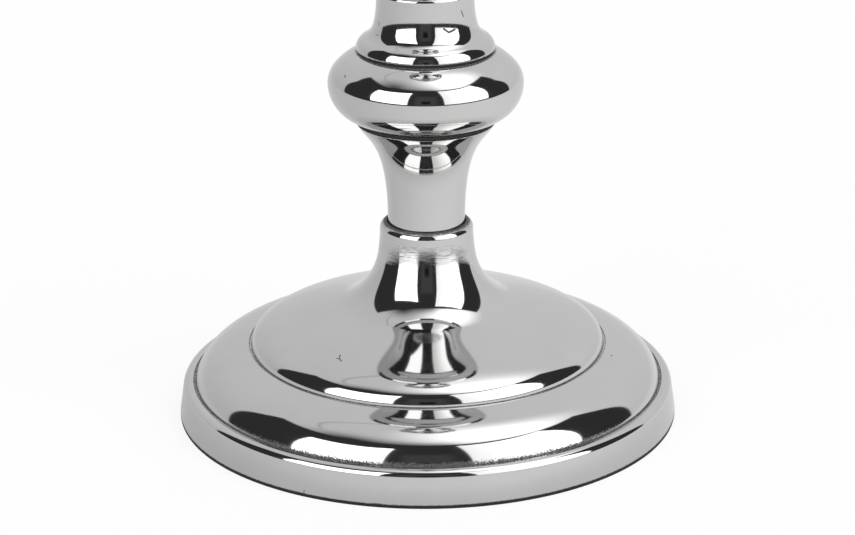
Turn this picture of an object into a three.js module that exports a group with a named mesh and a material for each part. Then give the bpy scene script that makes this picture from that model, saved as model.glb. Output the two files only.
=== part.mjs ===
// Polished cast-metal candlestick: turned sections on a central tie rod, with a lift-out candle nozzle.
// Millimetres, +Z up. The origin is the centre of the felt pad's underside, where the candlestick stands.
import * as THREE from "three";

// A curve between two points of an outline has its directions at the start and the end, in degrees from the
// radius towards +Z, and how far each end pulls on it, as shares of its chord.

// Felt pad under the foot
const FELT_THICKNESS = 0.7;
const FELT_INSET = 0.2;

// Foot: a rim band, two stepped domes, and a neck that ends in a rounded lip
const FOOT_RADIUS = 60.0;
const FOOT_WALL = 3.4;
const RIM_WALL = 4.6;
const RIM_HEIGHT = 7.9;
const RIM_LEAN_DEG = 8.5;
const RIM_EDGE_RADIUS = 1.7;
const RIM_LEDGE = 0.75;
const OUTER_DOME_WIDTH = 13.1;
const OUTER_DOME_RISE = 8.55;
const OUTER_DOME_FOOT_DEG = 16.7;
const OUTER_SHOULDER_RADIUS = 9.75;
const OUTER_SHOULDER_END_DEG = 54.5;
const OUTER_DOME_CURVE = { leaveDeg: 90 + OUTER_SHOULDER_END_DEG, arriveDeg: 167.5, pulls: [0.24, 0.58] };
const INNER_DOME_RISE = 23.0;
const INNER_DOME_FOOT_DEG = 6;
const INNER_CREST_INSET = 9.7;
const INNER_CREST_RISE = 6.55;
const INNER_CREST_DEG = 72;
const NECK_FILLET_RADIUS = 16.1;
const NECK_FILLET_DEG = 63.6;
const NECK_HEIGHT = 5.75;
const NECK_FLARE = 0.42;
const NECK_FLARE_DEG = 7;
const INNER_DOME_CURVE = {
  leaveDeg: 90 + INNER_DOME_FOOT_DEG,
  arriveDeg: 90 + INNER_CREST_DEG,
  pulls: [0.26, 0.61],
};
const CREST_CURVE = { leaveDeg: 90 + INNER_CREST_DEG, arriveDeg: 90 + NECK_FILLET_DEG, pulls: [0.41, 0.16] };
const NECK_CURVE = { leaveDeg: 90 + NECK_FLARE_DEG, arriveDeg: 90, pulls: [0.35, 0.35] };
const NECK_LIP_RADIUS = 1.7;
const ROOF_DROP = 14.6;
const BOSS_RADIUS = 12.5;
const BOSS_HEIGHT = 5.0;

// Turned grooves that part the rim and the domes
const GROOVE_WIDTH = 0.5;
const GROOVE_DEPTH = 0.4;

// Sockets that a stem stands in, and the black fibre rings between sections that meet face to face
const SOCKET_DEPTH = 3.0;
const SOCKET_CLEARANCE = 0.25;
const SEAT_RING_THICKNESS = 0.75;
const SEAT_RING_INSET = 0.3;

// Lower stem: a short cylinder that opens into a trumpet
const LOWER_STEM_RADIUS = 9.17;
const LOWER_STEM_LENGTH = 27.7;
const LOWER_STEM_STRAIGHT = 3.1;
const LOWER_STEM_TOP_RADIUS = 16.4;
const LOWER_STEM_TRUMPET = { leaveDeg: 90, arriveDeg: 59, pulls: [0.75, 0.21] };

// Where the rounds of a knop begin below its belly and end above it, and the slope from there to its top
const KNOP_LOWER_DEG = -59;
const KNOP_UPPER_DEG = 44;
const KNOP_SLOPE = { leaveDeg: 90 + KNOP_UPPER_DEG, arriveDeg: 158, pulls: [0.43, 0.32] };

// Knop: the round swelling, fuller below its belly than above it
const KNOP = {
  radius: 22.95,
  height: 16.4,
  bellyHeight: 8.7,
  lowerRound: 8.6,
  upperRound: 6.1,
  topRadius: 16.1,
};

// Skirt: the bell on top of the knop, with a rounded rim, two hollow rounds up to its waist, and an upper lip
const SKIRT_RADIUS = 16.3;
const SKIRT_HEIGHT = 14.05;
const SKIRT_RIM_ROUND = 3.45;
const SKIRT_RIM_START_DEG = 6;
const SKIRT_RIM_END_DEG = 62;
const SKIRT_BELL_ROUND = 4.75;
const SKIRT_BELL_END_DEG = 14;
const SKIRT_WAIST_ROUND = 23.7;
const SKIRT_LIP_WALL = 1.9;
const SKIRT_LIP_FLARE = { leaveDeg: 90, arriveDeg: 80, pulls: [0.35, 0.35] };

// Upper stem: a slim tapering column that opens into a trumpet
const UPPER_STEM_RADIUS = 9.6;
const UPPER_STEM_LENGTH = 66.0;
const UPPER_STEM_STRAIGHT = 4.5;
const UPPER_STEM_WAIST_RADIUS = 7.6;
const UPPER_STEM_WAIST_DROP = 21.0;
const UPPER_STEM_TOP_RADIUS = 13.4;
const UPPER_STEM_TAPER = { leaveDeg: 93, arriveDeg: 90, pulls: [0.3, 0.3] };
const UPPER_STEM_TRUMPET = { leaveDeg: 90, arriveDeg: 50, pulls: [0.42, 0.32] };

// Upper knop: a smaller round swelling under the candle cup
const UPPER_KNOP = {
  radius: 17.8,
  height: 12.4,
  bellyHeight: 6.8,
  lowerRound: 7.0,
  upperRound: 4.7,
  topRadius: 13.2,
};

// Candle cup: a tulip on a waisted foot
const CUP_FOOT_RADIUS = 12.9;
const CUP_FOOT_ROUND = 2.1;
const CUP_FOOT_END_DEG = 50;
const CUP_WAIST_RADIUS = 9.4;
const CUP_WAIST_HEIGHT = 7.4;
const CUP_FLOOR_HEIGHT = 17.0;
const CUP_BULGE = 0.8;
const CUP_BULGE_HEIGHT = 23.0;
const CUP_WALL = 3.3;
const CUP_THROAT_DROP = 7.0;
const CUP_LIP_WIDTH = 5.5;
const CUP_HEIGHT = 39.5;
const CUP_FOOT_CURVE = { leaveDeg: 90 + CUP_FOOT_END_DEG, arriveDeg: 90, pulls: [0.35, 0.35] };
const CUP_BELLY_CURVE = { leaveDeg: 80, arriveDeg: 90, pulls: [0.3, 0.62] };
const CUP_THROAT_CURVE = { leaveDeg: 90, arriveDeg: 88, pulls: [0.4, 0.4] };
const CUP_LIP_FLARE = { leaveDeg: 88, arriveDeg: 60, pulls: [0.45, 0.3] };

// Small round on the edges of the skirt's lip and the cup's lip
const LIP_EDGE_RADIUS = 0.8;

// Lift-out nozzle: a drawn sleeve fixed in a spun drip pan
const CANDLE_BORE_RADIUS = 11.1;
const SLEEVE_WALL = 0.85;
const SLEEVE_CLEARANCE = 0.35;
const SLEEVE_FLOOR_GAP = 6.5;
const SLEEVE_STAND = 3.4;
const SLEEVE_FLANGE = 1.7;
const SLEEVE_FLANGE_CURVE = { leaveDeg: 180, arriveDeg: 90, pulls: [0.4, 0.4] };
const PAN_RADIUS = 27.0;
const PAN_SIDE_WIDTH = 7.0;
const PAN_THICKNESS = 1.4;
const PAN_RISE = 4.2;
const PAN_UNDERSIDE = { leaveDeg: 0, arriveDeg: 78, pulls: [0.45, 0.3] };
const PAN_INSIDE = { leaveDeg: 258, arriveDeg: 180, pulls: [0.3, 0.45] };
const PAN_HOLE_CLEARANCE = 0.25;

// Tie rod with its nuts and washers
const ROD_RADIUS = 4.0;
const ROD_CLEARANCE = 0.4;
const ROD_END = 1.5;
const NUT_ACROSS_FLATS = 13.0;
const FOOT_NUT_HEIGHT = 6.5;
const CUP_NUT_HEIGHT = 4.0;
const THREAD_GAP = 0.3;
const FOOT_WASHER_RADIUS = 11.0;
const FOOT_WASHER_THICKNESS = 1.6;
const LOCK_WASHER_RADIUS = 7.4;
const LOCK_WASHER_THICKNESS = 2.0;
const LOCK_WASHER_SLIT = 1.2;
const CUP_WASHER_RADIUS = 8.4;
const CUP_WASHER_THICKNESS = 1.2;

// Facets of the turned solids, the most an arc may stray from its round, and the steps along a free curve
const FOOT_SIDES = 48;
const SECTION_SIDES = 32;
const RING_SIDES = 24;
const ARC_ERROR = 0.05;
const SWEEP_STEPS = 6;

// Radii that follow from the pieces they fit
const ROD_BORE = ROD_RADIUS + ROD_CLEARANCE;
const NUT_BORE = ROD_RADIUS + THREAD_GAP;
const FOOT_SOCKET_RADIUS = LOWER_STEM_RADIUS + SOCKET_CLEARANCE;
const NECK_RADIUS = FOOT_SOCKET_RADIUS + NECK_LIP_RADIUS;
const SKIRT_SOCKET_RADIUS = UPPER_STEM_RADIUS + SOCKET_CLEARANCE;
const SKIRT_LIP_RADIUS = SKIRT_SOCKET_RADIUS + SKIRT_LIP_WALL;
const SLEEVE_RADIUS = CANDLE_BORE_RADIUS + SLEEVE_WALL;
const CUP_BORE_RADIUS = SLEEVE_RADIUS + SLEEVE_CLEARANCE;
const CUP_THROAT_RADIUS = CUP_BORE_RADIUS + CUP_WALL;
const CUP_LIP_RADIUS = CUP_BORE_RADIUS + CUP_LIP_WIDTH;

// Heights at which the sections meet, from the ground up
const RIM_TOP = FELT_THICKNESS + RIM_HEIGHT;
const CROWN = RIM_TOP + OUTER_DOME_RISE;
const NECK_ROOT = CROWN + INNER_DOME_RISE;
const LIP_START = NECK_ROOT + NECK_HEIGHT;
const FOOT_TOP = LIP_START + NECK_LIP_RADIUS;
const LOWER_STEM_FOOT = FOOT_TOP - SOCKET_DEPTH;
const LOWER_STEM_TOP = LOWER_STEM_FOOT + LOWER_STEM_LENGTH;
const KNOP_FOOT = LOWER_STEM_TOP + SEAT_RING_THICKNESS;
const KNOP_TOP = KNOP_FOOT + KNOP.height;
const SKIRT_FOOT = KNOP_TOP + SEAT_RING_THICKNESS;
const SKIRT_TOP = SKIRT_FOOT + SKIRT_HEIGHT;
const UPPER_STEM_FOOT = SKIRT_TOP - SOCKET_DEPTH;
const UPPER_STEM_TOP = UPPER_STEM_FOOT + UPPER_STEM_LENGTH;
const UPPER_KNOP_FOOT = UPPER_STEM_TOP + SEAT_RING_THICKNESS;
const UPPER_KNOP_TOP = UPPER_KNOP_FOOT + UPPER_KNOP.height;
const CUP_FOOT = UPPER_KNOP_TOP + SEAT_RING_THICKNESS;
const CUP_FLOOR = CUP_FOOT + CUP_FLOOR_HEIGHT;
const CUP_TOP = CUP_FOOT + CUP_HEIGHT;
const PAN_TOP = CUP_TOP + PAN_THICKNESS;

// Heights of the boss inside the foot, and of what the tie rod clamps it and the cup with
const ROOF_EDGE = NECK_ROOT - ROOF_DROP;
const BOSS_FOOT = ROOF_EDGE - BOSS_HEIGHT;
const FOOT_WASHER_FOOT = BOSS_FOOT - FOOT_WASHER_THICKNESS;
const LOCK_WASHER_FOOT = FOOT_WASHER_FOOT - LOCK_WASHER_THICKNESS;
const FOOT_NUT_FOOT = LOCK_WASHER_FOOT - FOOT_NUT_HEIGHT;
const ROD_FOOT = FOOT_NUT_FOOT - ROD_END;
const CUP_NUT_FOOT = CUP_FLOOR + CUP_WASHER_THICKNESS;
const ROD_TOP = CUP_NUT_FOOT + CUP_NUT_HEIGHT + ROD_END;

const FINISHES = {
  polished: new THREE.MeshStandardMaterial({ color: 0xc8c8c6, roughness: 0.08, metalness: 1.0 }),
  steel: new THREE.MeshStandardMaterial({ color: 0xb4b8bc, roughness: 0.35, metalness: 1.0 }),
  fibre: new THREE.MeshStandardMaterial({ color: 0x1b1a19, roughness: 0.85, metalness: 0.0 }),
  felt: new THREE.MeshStandardMaterial({ color: 0x141416, roughness: 1.0, metalness: 0.0 }),
};

const radians = THREE.MathUtils.degToRad;
const cosDeg = (degrees) => Math.cos(radians(degrees));
const sinDeg = (degrees) => Math.sin(radians(degrees));

/** The half section of a turned piece, as points of radius and height, drawn anticlockwise. */
class Outline {
  constructor(r, z) {
    this.points = [new THREE.Vector2(r, z)];
  }

  lineTo(r, z) {
    this.points.push(new THREE.Vector2(r, z));
    return this;
  }

  /** A round stretch; a line leads to its start. */
  arc(centreR, centreZ, radius, fromDeg, toDeg) {
    const stepDeg = 2 * THREE.MathUtils.radToDeg(Math.acos(1 - ARC_ERROR / radius));
    const steps = Math.max(2, Math.ceil(Math.abs(toDeg - fromDeg) / stepDeg));
    for (let i = 0; i <= steps; i++) {
      const angle = fromDeg + ((toDeg - fromDeg) * i) / steps;
      this.lineTo(centreR + radius * cosDeg(angle), centreZ + radius * sinDeg(angle));
    }
    return this;
  }

  /** A hollow round that starts at the last point, where the surface faces up by the first angle. */
  hollow(radius, fromDeg, toDeg) {
    const { x, y } = this.points.at(-1);
    const centreR = x + radius * cosDeg(fromDeg);
    const centreZ = y + radius * sinDeg(fromDeg);
    return this.arc(centreR, centreZ, radius, 180 + fromDeg, 180 + toDeg);
  }

  /** A free curve that leaves and arrives in the given directions; the pulls are shares of its chord. */
  sweep(r, z, { leaveDeg, arriveDeg, pulls }) {
    const from = this.points.at(-1);
    const to = new THREE.Vector2(r, z);
    const chord = from.distanceTo(to);
    const leave = new THREE.Vector2(cosDeg(leaveDeg), sinDeg(leaveDeg)).multiplyScalar(chord * pulls[0]);
    const arrive = new THREE.Vector2(cosDeg(arriveDeg), sinDeg(arriveDeg)).multiplyScalar(chord * pulls[1]);
    const curve = new THREE.CubicBezierCurve(from, leave.add(from), arrive.negate().add(to), to);
    this.points.push(...curve.getPoints(SWEEP_STEPS).slice(1));
    return this;
  }

  /** Joins the last point to the first, for a piece with a hole through it. */
  close() {
    return this.lineTo(this.points[0].x, this.points[0].y);
  }

  /** A named piece turned from this outline about the Z axis. */
  turned(name, finish, sides) {
    const geometry = new THREE.LatheGeometry(this.points, sides);
    geometry.rotateX(Math.PI / 2);
    return named(name, geometry, finish);
  }
}

/** A free curve followed from its end to its start. */
function backwards({ leaveDeg, arriveDeg, pulls }) {
  return { leaveDeg: arriveDeg + 180, arriveDeg: leaveDeg + 180, pulls: [pulls[1], pulls[0]] };
}

function named(name, geometry, finish) {
  const mesh = new THREE.Mesh(geometry, FINISHES[finish]);
  mesh.name = name;
  return mesh;
}

/** A flat ring between two heights. */
function flatRing(name, innerRadius, outerRadius, bottom, top, finish) {
  return new Outline(innerRadius, bottom)
    .lineTo(outerRadius, bottom)
    .lineTo(outerRadius, top)
    .lineTo(innerRadius, top)
    .close()
    .turned(name, finish, RING_SIDES);
}

/** A black ring between two sections, set back from the edge of the section below it. */
function seatRing(name, bottom, edgeRadius) {
  const top = bottom + SEAT_RING_THICKNESS;
  return flatRing(name, ROD_BORE, edgeRadius - SEAT_RING_INSET, bottom, top, "fibre");
}

/** A solid round bar between two heights. */
function bar(name, radius, bottom, top, finish, sides) {
  return new Outline(0, bottom)
    .lineTo(radius, bottom)
    .lineTo(radius, top)
    .lineTo(0, top)
    .turned(name, finish, sides);
}

/** A flat section raised to a thickness, standing on a height. */
function raised(name, section, bottom, thickness, finish) {
  const geometry = new THREE.ExtrudeGeometry(section, { depth: thickness, bevelEnabled: false });
  geometry.translate(0, 0, bottom);
  return named(name, geometry, finish);
}

/** A hexagon nut round the tie rod. */
function hexNut(name, bottom, height) {
  const cornerRadius = NUT_ACROSS_FLATS / 2 / cosDeg(30);
  const corners = [0, 60, 120, 180, 240, 300].map(
    (angle) => new THREE.Vector2(cornerRadius * cosDeg(angle), cornerRadius * sinDeg(angle)),
  );
  const section = new THREE.Shape(corners);
  section.holes.push(new THREE.Path().absarc(0, 0, NUT_BORE, 0, 2 * Math.PI, true));
  return raised(name, section, bottom, height, "steel");
}

/** A spring washer: a flat ring with a slit through one side. */
function splitWasher(name, bottom) {
  const outerSlit = Math.asin(LOCK_WASHER_SLIT / 2 / LOCK_WASHER_RADIUS);
  const innerSlit = Math.asin(LOCK_WASHER_SLIT / 2 / NUT_BORE);
  const section = new THREE.Shape();
  section.absarc(0, 0, LOCK_WASHER_RADIUS, outerSlit, 2 * Math.PI - outerSlit, false);
  section.absarc(0, 0, NUT_BORE, 2 * Math.PI - innerSlit, innerSlit, true);
  return raised(name, section, bottom, LOCK_WASHER_THICKNESS, "steel");
}

/** The foot casting: rim band, outer dome, inner dome and neck outside, an open hollow with a boss inside. */
function foot() {
  const edgeZ = RIM_TOP - RIM_EDGE_RADIUS;
  const bandHeight = edgeZ + RIM_EDGE_RADIUS * sinDeg(RIM_LEAN_DEG) - FELT_THICKNESS;
  const bandLean = bandHeight * Math.tan(radians(RIM_LEAN_DEG));
  const edgeR = FOOT_RADIUS - bandLean - RIM_EDGE_RADIUS * cosDeg(RIM_LEAN_DEG);
  const grooveR = edgeR - RIM_LEDGE;
  const domeR = grooveR - GROOVE_WIDTH;
  const crownR = domeR - OUTER_DOME_WIDTH;
  const innerR = crownR - GROOVE_WIDTH;
  const shoulder = {
    r: domeR - OUTER_SHOULDER_RADIUS * cosDeg(OUTER_DOME_FOOT_DEG),
    z: RIM_TOP - OUTER_SHOULDER_RADIUS * sinDeg(OUTER_DOME_FOOT_DEG),
    hollow: Math.max(OUTER_SHOULDER_RADIUS - FOOT_WALL, GROOVE_WIDTH),
  };
  const crest = { r: innerR - INNER_CREST_INSET, z: CROWN + INNER_CREST_RISE };
  const fillet = {
    r: NECK_RADIUS + NECK_FLARE + NECK_FILLET_RADIUS * (cosDeg(NECK_FLARE_DEG) - cosDeg(NECK_FILLET_DEG)),
    z: NECK_ROOT + NECK_FILLET_RADIUS * (sinDeg(NECK_FLARE_DEG) - sinDeg(NECK_FILLET_DEG)),
  };

  const outline = new Outline(FOOT_RADIUS - RIM_WALL, FELT_THICKNESS);
  outline.lineTo(FOOT_RADIUS, FELT_THICKNESS);
  outline.arc(edgeR, edgeZ, RIM_EDGE_RADIUS, RIM_LEAN_DEG, 90);
  outline.lineTo(grooveR, RIM_TOP);
  outline.lineTo(grooveR, RIM_TOP - GROOVE_DEPTH);
  outline.lineTo(domeR, RIM_TOP - GROOVE_DEPTH);
  outline.arc(
    shoulder.r, shoulder.z, OUTER_SHOULDER_RADIUS, OUTER_DOME_FOOT_DEG, OUTER_SHOULDER_END_DEG,
  );
  outline.sweep(crownR, CROWN, OUTER_DOME_CURVE);
  outline.lineTo(crownR, CROWN - GROOVE_DEPTH);
  outline.lineTo(innerR, CROWN - GROOVE_DEPTH);
  outline.lineTo(innerR, CROWN);
  outline.sweep(crest.r, crest.z, INNER_DOME_CURVE);
  outline.sweep(fillet.r, fillet.z, CREST_CURVE);
  outline.hollow(NECK_FILLET_RADIUS, NECK_FILLET_DEG, NECK_FLARE_DEG);
  outline.sweep(NECK_RADIUS, LIP_START, NECK_CURVE);
  outline.arc(FOOT_SOCKET_RADIUS, LIP_START, NECK_LIP_RADIUS, 0, 90);
  outline.lineTo(FOOT_SOCKET_RADIUS, LOWER_STEM_FOOT);
  outline.lineTo(ROD_BORE, LOWER_STEM_FOOT);
  outline.lineTo(ROD_BORE, BOSS_FOOT);
  outline.lineTo(BOSS_RADIUS, BOSS_FOOT);
  outline.lineTo(BOSS_RADIUS, ROOF_EDGE);
  outline.lineTo(
    crest.r - FOOT_WALL * cosDeg(INNER_CREST_DEG), crest.z - FOOT_WALL * sinDeg(INNER_CREST_DEG),
  );
  outline.sweep(
    innerR - FOOT_WALL * cosDeg(INNER_DOME_FOOT_DEG),
    CROWN - FOOT_WALL * sinDeg(INNER_DOME_FOOT_DEG),
    backwards(INNER_DOME_CURVE),
  );
  outline.arc(
    shoulder.r, shoulder.z, shoulder.hollow, OUTER_SHOULDER_END_DEG, OUTER_DOME_FOOT_DEG,
  );
  return outline.close().turned("foot", "polished", FOOT_SIDES);
}

function lowerStem() {
  return new Outline(ROD_BORE, LOWER_STEM_FOOT)
    .lineTo(LOWER_STEM_RADIUS, LOWER_STEM_FOOT)
    .lineTo(LOWER_STEM_RADIUS, LOWER_STEM_FOOT + LOWER_STEM_STRAIGHT)
    .sweep(LOWER_STEM_TOP_RADIUS, LOWER_STEM_TOP, LOWER_STEM_TRUMPET)
    .lineTo(ROD_BORE, LOWER_STEM_TOP)
    .close()
    .turned("lower_stem", "polished", SECTION_SIDES);
}

/** A round swelling bored for the rod: a cone, a full lower round, a tighter upper round and a slope. */
function swelling(name, bottom, footRadius, size) {
  const belly = bottom + size.bellyHeight;
  const top = bottom + size.height;
  return new Outline(ROD_BORE, bottom)
    .lineTo(footRadius, bottom)
    .arc(size.radius - size.lowerRound, belly, size.lowerRound, KNOP_LOWER_DEG, 0)
    .arc(size.radius - size.upperRound, belly, size.upperRound, 0, KNOP_UPPER_DEG)
    .sweep(size.topRadius, top, KNOP_SLOPE)
    .lineTo(ROD_BORE, top)
    .close()
    .turned(name, "polished", SECTION_SIDES);
}

function skirt() {
  const edgeZ = SKIRT_TOP - LIP_EDGE_RADIUS;
  const rimR = SKIRT_RADIUS - SKIRT_RIM_ROUND * cosDeg(SKIRT_RIM_START_DEG);
  const rimZ = SKIRT_FOOT - SKIRT_RIM_ROUND * sinDeg(SKIRT_RIM_START_DEG);
  return new Outline(ROD_BORE, SKIRT_FOOT)
    .arc(rimR, rimZ, SKIRT_RIM_ROUND, SKIRT_RIM_START_DEG, SKIRT_RIM_END_DEG)
    .hollow(SKIRT_BELL_ROUND, SKIRT_RIM_END_DEG, SKIRT_BELL_END_DEG)
    .hollow(SKIRT_WAIST_ROUND, SKIRT_BELL_END_DEG, 0)
    .sweep(SKIRT_LIP_RADIUS, edgeZ, SKIRT_LIP_FLARE)
    .arc(SKIRT_LIP_RADIUS - LIP_EDGE_RADIUS, edgeZ, LIP_EDGE_RADIUS, 0, 90)
    .lineTo(SKIRT_SOCKET_RADIUS, SKIRT_TOP)
    .lineTo(SKIRT_SOCKET_RADIUS, UPPER_STEM_FOOT)
    .lineTo(ROD_BORE, UPPER_STEM_FOOT)
    .close()
    .turned("skirt", "polished", SECTION_SIDES);
}

function upperStem() {
  const waistZ = UPPER_STEM_TOP - UPPER_STEM_WAIST_DROP;
  return new Outline(ROD_BORE, UPPER_STEM_FOOT)
    .lineTo(UPPER_STEM_RADIUS, UPPER_STEM_FOOT)
    .lineTo(UPPER_STEM_RADIUS, UPPER_STEM_FOOT + UPPER_STEM_STRAIGHT)
    .sweep(UPPER_STEM_WAIST_RADIUS, waistZ, UPPER_STEM_TAPER)
    .sweep(UPPER_STEM_TOP_RADIUS, UPPER_STEM_TOP, UPPER_STEM_TRUMPET)
    .lineTo(ROD_BORE, UPPER_STEM_TOP)
    .close()
    .turned("upper_stem", "polished", SECTION_SIDES);
}

function candleCup() {
  const waistZ = CUP_FOOT + CUP_WAIST_HEIGHT;
  const bulgeZ = CUP_FOOT + CUP_BULGE_HEIGHT;
  const throatZ = CUP_TOP - CUP_THROAT_DROP;
  const edgeZ = CUP_TOP - LIP_EDGE_RADIUS;
  return new Outline(ROD_BORE, CUP_FOOT)
    .arc(CUP_FOOT_RADIUS - CUP_FOOT_ROUND, CUP_FOOT, CUP_FOOT_ROUND, 0, CUP_FOOT_END_DEG)
    .sweep(CUP_WAIST_RADIUS, waistZ, CUP_FOOT_CURVE)
    .sweep(CUP_THROAT_RADIUS + CUP_BULGE, bulgeZ, CUP_BELLY_CURVE)
    .sweep(CUP_THROAT_RADIUS, throatZ, CUP_THROAT_CURVE)
    .sweep(CUP_LIP_RADIUS, edgeZ, CUP_LIP_FLARE)
    .arc(CUP_LIP_RADIUS - LIP_EDGE_RADIUS, edgeZ, LIP_EDGE_RADIUS, 0, 90)
    .lineTo(CUP_BORE_RADIUS, CUP_TOP)
    .lineTo(CUP_BORE_RADIUS, CUP_FLOOR)
    .lineTo(ROD_BORE, CUP_FLOOR)
    .close()
    .turned("candle_cup", "polished", SECTION_SIDES);
}

/** The spun pan: a flat that rests on the cup's lip, a rising side and a rounded rim. */
function dripPan() {
  const holeRadius = SLEEVE_RADIUS + PAN_HOLE_CLEARANCE;
  const flatRadius = PAN_RADIUS - PAN_SIDE_WIDTH;
  const rimRadius = PAN_THICKNESS / 2;
  const rimZ = CUP_TOP + PAN_RISE;
  return new Outline(holeRadius, CUP_TOP)
    .lineTo(flatRadius, CUP_TOP)
    .sweep(PAN_RADIUS, rimZ, PAN_UNDERSIDE)
    .arc(PAN_RADIUS - rimRadius, rimZ, rimRadius, 0, 180)
    .sweep(flatRadius, PAN_TOP, PAN_INSIDE)
    .lineTo(holeRadius, PAN_TOP)
    .close()
    .turned("drip_pan", "polished", SECTION_SIDES);
}

/** The drawn sleeve that grips the candle; its flange rests on the pan. */
function nozzleSleeve() {
  const bottom = CUP_FLOOR + SLEEVE_FLOOR_GAP;
  const top = PAN_TOP + SLEEVE_STAND;
  return new Outline(CANDLE_BORE_RADIUS, bottom)
    .lineTo(SLEEVE_RADIUS, bottom)
    .lineTo(SLEEVE_RADIUS, PAN_TOP)
    .lineTo(SLEEVE_RADIUS + SLEEVE_FLANGE, PAN_TOP)
    .sweep(SLEEVE_RADIUS, PAN_TOP + SLEEVE_FLANGE, SLEEVE_FLANGE_CURVE)
    .lineTo(SLEEVE_RADIUS, top)
    .lineTo(CANDLE_BORE_RADIUS, top)
    .close()
    .turned("nozzle_sleeve", "polished", SECTION_SIDES);
}

// Everything that the tie rod holds together
const holder = new THREE.Group();
holder.add(bar("felt_pad", FOOT_RADIUS - FELT_INSET, 0, FELT_THICKNESS, "felt", FOOT_SIDES));
holder.add(foot());
holder.add(flatRing("foot_washer", ROD_BORE, FOOT_WASHER_RADIUS, FOOT_WASHER_FOOT, BOSS_FOOT, "steel"));
holder.add(splitWasher("foot_lock_washer", LOCK_WASHER_FOOT));
holder.add(hexNut("foot_nut", FOOT_NUT_FOOT, FOOT_NUT_HEIGHT));
holder.add(bar("tie_rod", ROD_RADIUS, ROD_FOOT, ROD_TOP, "steel", RING_SIDES));
holder.add(lowerStem());
holder.add(seatRing("stem_seat_ring", LOWER_STEM_TOP, LOWER_STEM_TOP_RADIUS));
holder.add(swelling("knop", KNOP_FOOT, LOWER_STEM_TOP_RADIUS, KNOP));
holder.add(seatRing("knop_seat_ring", KNOP_TOP, KNOP.topRadius));
holder.add(skirt());
holder.add(upperStem());
holder.add(seatRing("upper_stem_seat_ring", UPPER_STEM_TOP, UPPER_STEM_TOP_RADIUS));
holder.add(swelling("upper_knop", UPPER_KNOP_FOOT, UPPER_STEM_TOP_RADIUS, UPPER_KNOP));
holder.add(seatRing("upper_knop_seat_ring", UPPER_KNOP_TOP, UPPER_KNOP.topRadius));
holder.add(candleCup());
holder.add(flatRing("cup_washer", ROD_BORE, CUP_WASHER_RADIUS, CUP_FLOOR, CUP_NUT_FOOT, "steel"));
holder.add(hexNut("cup_nut", CUP_NUT_FOOT, CUP_NUT_HEIGHT));

// The nozzle lifts straight out of the cup
const nozzle = new THREE.Group();
nozzle.add(dripPan());
nozzle.add(nozzleSleeve());

const candlestick = new THREE.Group();
candlestick.add(holder, nozzle);

export default candlestick;
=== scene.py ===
"""Looks of a polished metal candlestick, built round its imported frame.

Each section is turned again at a fine pitch from the places that the frame gives, with the small rounds
that a polishing wheel leaves on every edge, and is dressed in buffed nickel, zinc-plated steel, black fibre
or felt.
"""

import logging
import math
from collections.abc import Callable, Sequence
from dataclasses import dataclass, field
from enum import Enum

import bpy
from mathutils import Euler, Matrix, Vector


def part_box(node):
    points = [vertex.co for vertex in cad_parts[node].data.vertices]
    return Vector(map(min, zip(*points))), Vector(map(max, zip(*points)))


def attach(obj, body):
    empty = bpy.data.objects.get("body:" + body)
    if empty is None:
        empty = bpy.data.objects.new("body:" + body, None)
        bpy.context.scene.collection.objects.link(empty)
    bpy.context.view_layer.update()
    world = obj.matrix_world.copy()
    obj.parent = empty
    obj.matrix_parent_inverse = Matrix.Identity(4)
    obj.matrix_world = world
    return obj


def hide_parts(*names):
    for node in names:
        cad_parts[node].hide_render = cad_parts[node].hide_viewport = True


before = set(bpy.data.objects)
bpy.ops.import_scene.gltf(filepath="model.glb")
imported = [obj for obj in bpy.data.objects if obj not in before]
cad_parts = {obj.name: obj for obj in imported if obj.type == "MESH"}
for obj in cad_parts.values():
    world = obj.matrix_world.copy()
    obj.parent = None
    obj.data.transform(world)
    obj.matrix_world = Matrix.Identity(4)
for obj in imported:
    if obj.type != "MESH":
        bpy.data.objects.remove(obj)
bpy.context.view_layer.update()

MM = 0.001
DEGREE = math.pi / 180

# Fineness of the meshes: steps round the axis, degrees along an arc, steps along a free curve and a worn edge
FOOT_SIDES = 240
SECTION_SIDES = 160
SMALL_SIDES = 96
ROD_SIDES = 48
FLOOR_SIDES = 72
ARC_STEP_DEG = 3.0
ARC_STEPS_LEAST = 4
SWEEP_STEPS = 36
EASE_STEPS = 6
SHARP_EDGE = 35 * DEGREE

# Lengths that count as nothing: between two points of an outline, in a turned mesh, and above an underside
SAME_POINT = 0.001 * MM
NO_LENGTH = 1e-9
UNDERSIDE = 0.01 * MM

# Angle of one side of a hexagon, and the slope of a smooth step in its middle
HEXAGON_DEG = 60.0
STEP_STEEPNESS = 1.5

# Radius of the hole for the tie rod through every section
ROD_BORE = 4.4 * MM

# Width of the photograph in pixels
PHOTO_WIDTH = 855

WHITE = (1.0, 1.0, 1.0, 1.0)

# Short names for what the functions take and give
Piece = bpy.types.Object
Socket = bpy.types.NodeSocket
Feed = Socket | float | tuple[float, ...]
Span = tuple[float, float]
Colour = tuple[float, float, float, float]

log = logging.getLogger("candlestick")


class Body(Enum):
    """The frame's moving bodies."""

    HOLDER = "holder"
    NOZZLE = "nozzle"


class Slot(Enum):
    """The record's finishes."""

    POLISHED = "polished_metal"
    STEEL = "zinc_steel"
    FIBRE = "black_fibre"
    FELT = "felt"


def floor_of(node: str) -> float:
    """Height of a node's underside."""
    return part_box(node)[0].z


def top_of(node: str) -> float:
    """Height of a node's top."""
    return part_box(node)[1].z


def reach_of(node: str) -> float:
    """Largest radius of a round node."""
    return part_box(node)[1].x


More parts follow.
